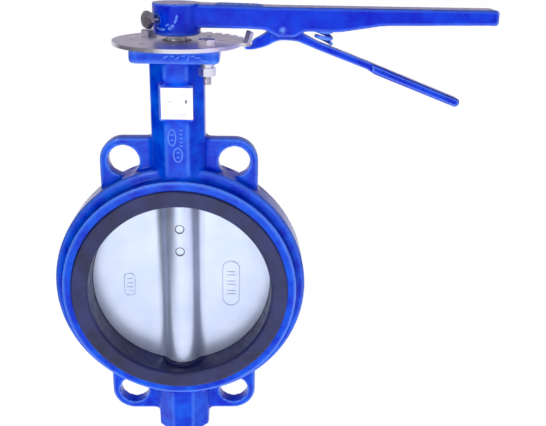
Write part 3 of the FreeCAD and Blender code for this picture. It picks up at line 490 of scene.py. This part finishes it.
def stadium(across, up, half_width, half_height, steps=10):
    """A closed frame with round ends, along up."""
    arcs = []
    for centre, start in ((half_height - half_width, 0), (half_width - half_height, math.pi)):
        turns = [start + math.pi * step / steps for step in range(steps + 1)]
        arcs.append([(across + half_width * math.cos(turn),
                      up + centre + half_width * math.sin(turn)) for turn in turns])
    path = []
    for arc, following in (arcs, reversed(arcs)):
        end, start = Vector(arc[-1]), Vector(following[0])
        path += arc + [tuple(end.lerp(start, share / 8)) for share in range(1, 8)]
    return path


def stadium_across(across, up, half_length, half_width):
    """A closed frame with round ends, along across."""
    return [(x + across, y + up) for y, x in stadium(0, 0, half_width, half_length)]


def bead_piece(name, place, beads, body, material):
    """One piece made of several beads; each is (path, width, height, closed), in millimetres."""
    mesh = bpy.data.meshes.new(name)
    build = bmesh.new()
    for path, width, height, closed in beads:
        scaled = [(x * MM, y * MM) for x, y in path]
        add_bead(build, place, scaled, width * MM, height * MM, closed)
    bmesh.ops.recalc_face_normals(build, faces=build.faces)
    build.to_mesh(mesh)
    build.free()
    shade_smooth(mesh, 60)
    return link_mesh(name, mesh, body, material)


def build_cast_marks():
    """Plain raised ovals, rings and dashes where a foundry puts its marks; none is a letter."""
    neck = on_plane(Vector((0, NECK_FRONT, 0)), X_AXIS, Z_AXIS)
    strokes = [(oval(-3.9, 135.4, 3.0, 6.6), 1.2, 0.9, True),
               (dash(-3.9, 137.6, 3.0), 1.2, 0.9, False), (dash(-3.9, 133.4, 3.0), 1.2, 0.9, False)]
    for level, height in ((141.4, 0.9), (138.1, 0.9), (134.8, 0.8), (131.5, 0.8), (128.6, 0.8)):
        strokes.append((dash(3.5, level, 2.8), 1.2, height, False))
    strokes.append((oval(0.6, 121.0, 3.5, 5.8), 1.3, 1.0, True))
    strokes += [(dash(0.6, level, 2.4), 1.5, 1.0, False) for level in (123.0, 119.0)]
    bead_piece("neck_marks", neck, strokes, ROOT, BODY_BLUE)

    flange = on_plane(Vector((0, FLANGE_FRONT, 0)), X_AXIS, Z_AXIS)
    lumps = [(-6, 201.4, 4, 24), (-1, 202.0, 3, -12), (3, 200.8, 4, 30), (7.5, 202.4, 3, 5),
             (11, 200.6, 4.5, 68), (14.5, 202.2, 3, 20), (18, 201.2, 5, 2), (21.5, 199.2, 3, -18),
             (24.5, 198.6, 4, 0)]
    bead_piece("flange_marks", flange, [(dash(*lump), 0.9, 0.42, False) for lump in lumps],
               ROOT, BODY_BLUE)

    drum = on_drum(-box("lever")[0].x - 0.25 * MM)
    arcs = ((-4, -34, 12.5, 1.8), (-40, -66, 12.9, 2.6),
            (-74, -116, 12.2, 2.0), (-52, -70, 9.8, 1.4))
    ridges = []
    for first, last, radius, width in arcs:
        turns = [math.radians(first + (last - first) * step / 6) for step in range(7)]
        arc = [(-10.5 + radius * math.cos(turn), 231.5 + radius * math.sin(turn)) for turn in turns]
        ridges.append((arc, width, 0.4, False))
    bead_piece("lever_hub_marks", drum, ridges, TURNING, LEVER_BLUE)

    slope = Vector((1, 0, -LEVER_FALL)).normalized()
    ridge = on_plane(Vector((0, 0, LEVER_RIDGE)), slope, Y_AXIS)
    ribs = [(stadium_across(49, 0, 18.5, 6.8), 1.5, 0.6, True)]
    ribs += [(dash(across, 0, 7.4, 90), 1.8, 0.6, False) for across in (36, 41.5, 47, 52.5, 58, 62)]
    bead_piece("lever_top_marks", ridge, ribs, TURNING, LEVER_BLUE)


def build_disc_marks():
    """Two cast frames with plain bars, one each side of the hub, and dark rings round the pins,
    painted shade at the edges of their recessed holes.
    """
    face = on_plane(Vector((0, DISC_FRONT, 0)), X_AXIS, Z_AXIS)
    right = [(stadium(43.3, -1.7, 7.4, 21.6), 0.9, 0.6, True)]
    right += [(dash(43.4, level, 8.6), 1.2, 0.5, False)
              for level in (9.6, 6.4, 0.4, -2.8, -8.8, -12.0)]
    bead_piece("disc_frame_right", face, right, TURNING, DISC_METAL)
    left = [(oval(-45.8, -3.0, 4.7, 10.4, power=4.0), 0.9, 0.6, True)]
    left += [(dash(-45.8, level, 5.4), 1.2, 0.5, False) for level in (2.6, -1.6, -5.4, -9.0)]
    bead_piece("disc_frame_left", face, left, TURNING, DISC_METAL)
    # Painted shade: dark rings round the recessed pins, where the holes' edges would fall in shade.
    rings = [(oval(0, level, PIN_RING_RADIUS, PIN_RING_RADIUS), 0.8, 0.12, True)
             for level in PIN_HEIGHTS]
    bead_piece("pin_shade_rings", on_drum(DISC_HUB_RADIUS), rings, TURNING, DARK_STEEL_AND_SHADE)


def build_label_print():
    """Plain grey bars and boxes, as thin as print, on the blank label."""
    low, high = box("nameplate")
    centre = (low + high) / 2
    face = on_plane(Vector((centre.x, low.y, centre.z)), X_AXIS, Z_AXIS)
    lines = [(dash(-5.6, 1.8, 4.4), 0.35, False),
             (oval(-6.2, -3.4, 3.2, 1.9, power=8), 0.2, True),
             (dash(7.2, 1.7, 2.8, 90), 2.0, False),
             (oval(6.4, -4.2, 2.4, 3.4, power=8), 0.2, True), (dash(3.0, 7.6, 12.0), 0.2, False),
             (dash(0.4, -8.4, 20.0), 0.2, False), (dash(0.4, -10.0, 20.0), 0.2, False)]
    bead_piece("label_print", face, [(path, width, 0.06, closed) for path, width, closed in lines],
               ROOT, INK)


def build_thread():
    """A fine thread round the free end of the bolt that the nut is on."""
    low, high = box("plate_nut")
    centre = (low + high) / 2
    end = box("plate_bolts")[0].z
    rise = low.z - end - 1.2 * MM
    turns = rise / THREAD_PITCH
    steps = int(turns * 20)
    points = []
    for step in range(steps + 1):
        turn = 2 * math.pi * turns * step / steps
        level = end + 0.6 * MM + rise * step / steps
        points.append(Vector((centre.x + math.cos(turn) * THREAD_RADIUS,
                              centre.y + math.sin(turn) * THREAD_RADIUS, level)))
    mesh = tube_along("bolt_thread", points, THREAD_WIRE, 6)
    link_mesh("bolt_thread", mesh, ROOT, ZINC)


# ---------------------------------------------------------------- camera, light and floor

def place_camera():
    """A standard lens, looking down on the valve from the front and a little to its right."""
    camera = bpy.data.objects.new("camera", bpy.data.cameras.new("camera"))
    SCENE.collection.objects.link(camera)
    pitch, yaw, roll = CAMERA_PITCH, CAMERA_YAW, CAMERA_ROLL
    camera.location = CAMERA_PLACE
    forward = Vector((-math.sin(yaw) * math.cos(pitch), math.cos(yaw) * math.cos(pitch),
                      -math.sin(pitch)))
    right = Vector((math.cos(yaw), math.sin(yaw), 0))
    up = right.cross(forward)
    level = right * math.cos(roll) + up * math.sin(roll)
    upright = up * math.cos(roll) - right * math.sin(roll)
    rotation = Matrix((level, upright, -forward)).transposed()
    camera.rotation_mode = "QUATERNION"
    camera.rotation_quaternion = rotation.to_quaternion()
    camera.data.sensor_width = CAMERA_SENSOR
    camera.data.lens = CAMERA_LENS
    camera.data.clip_start = 0.01
    SCENE.camera = camera


def area_light(name, place, target, size, power, colour=(1, 1, 1)):
    light = bpy.data.lights.new(name, "AREA")
    light.shape = "RECTANGLE"
    light.size, light.size_y = size
    light.energy = power
    light.color = colour
    lamp = bpy.data.objects.new(name, light)
    SCENE.collection.objects.link(lamp)
    lamp.location = place
    aim = Vector(target) - Vector(place)
    lamp.rotation_euler = aim.to_track_quat("-Z", "Y").to_euler()
    lamp.visible_camera = False
    return lamp


def light_studio():
    """Soft light from low in front, a dim mauve room behind and a darker ceiling."""
    world = bpy.data.worlds.new("studio")
    SCENE.world = world
    world.use_nodes = True
    tree = world.node_tree
    background = tree.nodes["Background"]
    background.inputs["Strength"].default_value = 1.0
    direction = tree.nodes.new("ShaderNodeTexCoord").outputs["Generated"]
    split = tree.nodes.new("ShaderNodeSeparateXYZ")
    tree.links.new(direction, split.inputs["Vector"])
    height = tree.nodes.new("ShaderNodeValToRGB")
    stops = ((0.0, linear(214, 206, 214)), (0.34, linear(204, 196, 206)),
             (0.58, linear(92, 88, 108)), (1.0, linear(58, 60, 80)))
    while len(height.color_ramp.elements) < len(stops):
        height.color_ramp.elements.new(0.5)
    for element, (position, colour) in zip(height.color_ramp.elements, stops):
        element.position = position
        element.color = colour
    tree.links.new(split.outputs["Z"], height.inputs["Fac"])
    tree.links.new(height.outputs["Color"], background.inputs["Color"])
    SCENE.view_settings.view_transform = "Standard"
    low_front = area_light("low_front", (-0.05, -0.85, -0.02), (0, 0, 0.10), (0.4, 0.22), 3.2,
                           (0.95, 0.98, 1.0))
    low_front.visible_glossy = False
    area_light("side", (0.85, -0.42, 0.12), (0.02, 0, 0), (0.15, 0.5), 1.6, (0.88, 0.82, 1.0))
    area_light("key", (-0.55, -0.95, 0.95), (0, 0, 0.10), (0.18, 0.15), 5.0)


def stand_flag(name, across, front, back, top, dark, pale):
    """A screen beside the set, out of view, that shades one flank of the valve."""
    low = CAD_BOX[0].z
    corners = [(across, front, low), (across, back, low), (across, back, top), (across, front, top)]
    mesh = bpy.data.meshes.new(name)
    mesh.from_pydata(corners, [], [(0, 1, 2, 3)])
    flag = bpy.data.objects.new(name, mesh)
    SCENE.collection.objects.link(flag)
    cloth = Material(f"{name}_cloth", Roughness=0.95, Specular_IOR_Level=0.0)
    cloth.colour(cloth.ramp(cloth.noise(0.05), (0.3, dark), (0.7, pale)))
    mesh.materials.append(cloth.data)
    flag.visible_camera = False


def lay_floor():
    """A plain pale floor under the valve's lowest point."""
    mesh = bpy.data.meshes.new("floor")
    reach, level = FLOOR_REACH, CAD_BOX[0].z - FLOOR_GAP
    corners = [(-reach, -reach, level), (reach, -reach, level),
               (reach, reach, level), (-reach, reach, level)]
    mesh.from_pydata(corners, [], [(0, 1, 2, 3)])
    floor = bpy.data.objects.new("floor", mesh)
    SCENE.collection.objects.link(floor)
    made = Material("pale_floor", Roughness=0.9, Specular_IOR_Level=0.0,
                    Emission_Color=(1, 1, 1, 1), Emission_Strength=0.9)
    made.colour(made.ramp(made.noise(0.4), (0.3, (0.5, 0.5, 0.5, 1)), (0.7, (0.54, 0.54, 0.54, 1))))
    mesh.materials.append(made.data)


# ---------------------------------------------------------------- the whole scene

EDGE_WIDTHS = {
    "position_plate": 0.4 * MM, "plate_bolts": 0.3 * MM, "plate_nut": 0.5 * MM,
    "plate_flat_washer": 0.2 * MM, "plate_spring_washer": 0.2 * MM,
    "lever_clamp_screw": 0.3 * MM, "upper_stem": 0.3 * MM, "hub_pins": 0.4 * MM,
    "disc": 0.6 * MM, "nameplate": 0.1 * MM, "bottom_plug": 0.3 * MM,
}
UNBEVELLED = ("seat_liner", "lower_stem", "upper_bushing", "middle_bushing", "lower_bushing",
              "stem_o_rings", "lower_o_ring", "stem_dust_seal", "stem_circlip",
              "bottom_plug_gasket", "trigger_pivot_pin")

place_camera()
light_studio()
lay_floor()
stand_flag("left_flag", -0.3, -0.55, 0.15, 0.2, linear(8, 10, 28), linear(14, 16, 38))
stand_flag("right_flag", 0.46, -0.3, 0.3, 0.2, linear(176, 164, 204), linear(190, 178, 216))
build_castings()
build_spring()
build_cast_marks()
build_disc_marks()
build_label_print()
build_thread()
for small_node, edge in EDGE_WIDTHS.items():
    bevelled(small_node, edge)
for plain_node in UNBEVELLED:
    shade_smooth(NODES[plain_node].data, 35)
